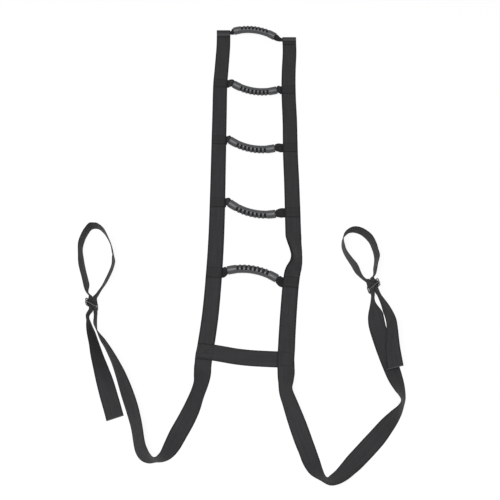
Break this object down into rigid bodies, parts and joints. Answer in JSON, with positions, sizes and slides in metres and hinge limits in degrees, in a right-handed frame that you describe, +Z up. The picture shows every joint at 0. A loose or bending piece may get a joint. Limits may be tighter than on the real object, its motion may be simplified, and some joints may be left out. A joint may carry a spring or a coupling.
{
  "type": "webbing rope ladder",
  "caption": "Soft webbing ladder with curved, ribbed hand grips as rungs, a cross strap below them, and long tie straps that end in loops held by slide buckles.",
  "frame": {"origin": "on the floor under the middle of the laid-out object's box", "axes": "+Y along the rails towards the top rung, +X to the right seen from above, +Z up off the floor"},
  "size_m": [0.7393, 1.258, 0.0449],
  "materials": {
    "webbing": "woven charcoal webbing with a low sheen",
    "grip": "satin moulded plastic",
    "buckle": "smooth black moulded plastic"
  },
  "bodies": {
    "webbing": {"left_rail_back": "webbing", "left_rail_front": "webbing", "right_rail_back": "webbing", "right_rail_front": "webbing", "cross_strap": "webbing", "rung_1_necks": "webbing", "rung_2_necks": "webbing", "rung_3_necks": "webbing", "rung_4_necks": "webbing", "rung_5_necks": "webbing", "left_lead": "webbing", "left_loop": "webbing", "left_tail": "webbing", "left_webbing_in_buckle": "webbing", "right_lead": "webbing", "right_loop": "webbing", "right_tail": "webbing", "right_webbing_in_buckle": "webbing"},
    "rung_1": {"rung_1_core": "webbing", "rung_1_grip": "grip"},
    "rung_2": {"rung_2_core": "webbing", "rung_2_grip": "grip"},
    "rung_3": {"rung_3_core": "webbing", "rung_3_grip": "grip"},
    "rung_4": {"rung_4_core": "webbing", "rung_4_grip": "grip"},
    "rung_5": {"rung_5_core": "webbing", "rung_5_grip": "grip"},
    "left_buckle": {"left_buckle": "buckle"},
    "right_buckle": {"right_buckle": "buckle"}
  },
  "joints": [
    {"name": "rung_1_swing", "type": "hinge", "parent": "webbing", "child": "rung_1", "pos_m": [0.048, 0.601, 0.0105], "axis": [0.9848, -0.1736, 0], "range_deg": [-28, 152]},
    {"name": "rung_2_swing", "type": "hinge", "parent": "webbing", "child": "rung_2", "pos_m": [0.05, 0.407, 0.01566], "axis": [-0.9848, 0.1736, 0], "range_deg": [0, 208]},
    {"name": "rung_3_swing", "type": "hinge", "parent": "webbing", "child": "rung_3", "pos_m": [0.042, 0.22, 0.01566], "axis": [-0.9763, 0.2164, 0], "range_deg": [0, 208]},
    {"name": "rung_4_swing", "type": "hinge", "parent": "webbing", "child": "rung_4", "pos_m": [0.042, 0.028, 0.01566], "axis": [-0.9636, 0.2672, 0], "range_deg": [0, 208]},
    {"name": "rung_5_swing", "type": "hinge", "parent": "webbing", "child": "rung_5", "pos_m": [0.041, -0.15, 0.0105], "axis": [0.9833, -0.1822, 0], "range_deg": [-28, 152]},
    {"name": "left_buckle_slide", "type": "slide", "parent": "webbing", "child": "left_buckle", "axis": [-0.1219, 0.9925, 0], "range_m": [-0.03, 0.03], "deforming": ["left_lead", "left_loop", "left_tail", "left_webbing_in_buckle"]},
    {"name": "right_buckle_slide", "type": "slide", "parent": "webbing", "child": "right_buckle", "axis": [-0.2588, 0.9659, 0], "range_m": [-0.03, 0.03], "deforming": ["right_lead", "right_loop", "right_tail", "right_webbing_in_buckle"]}
  ]
}
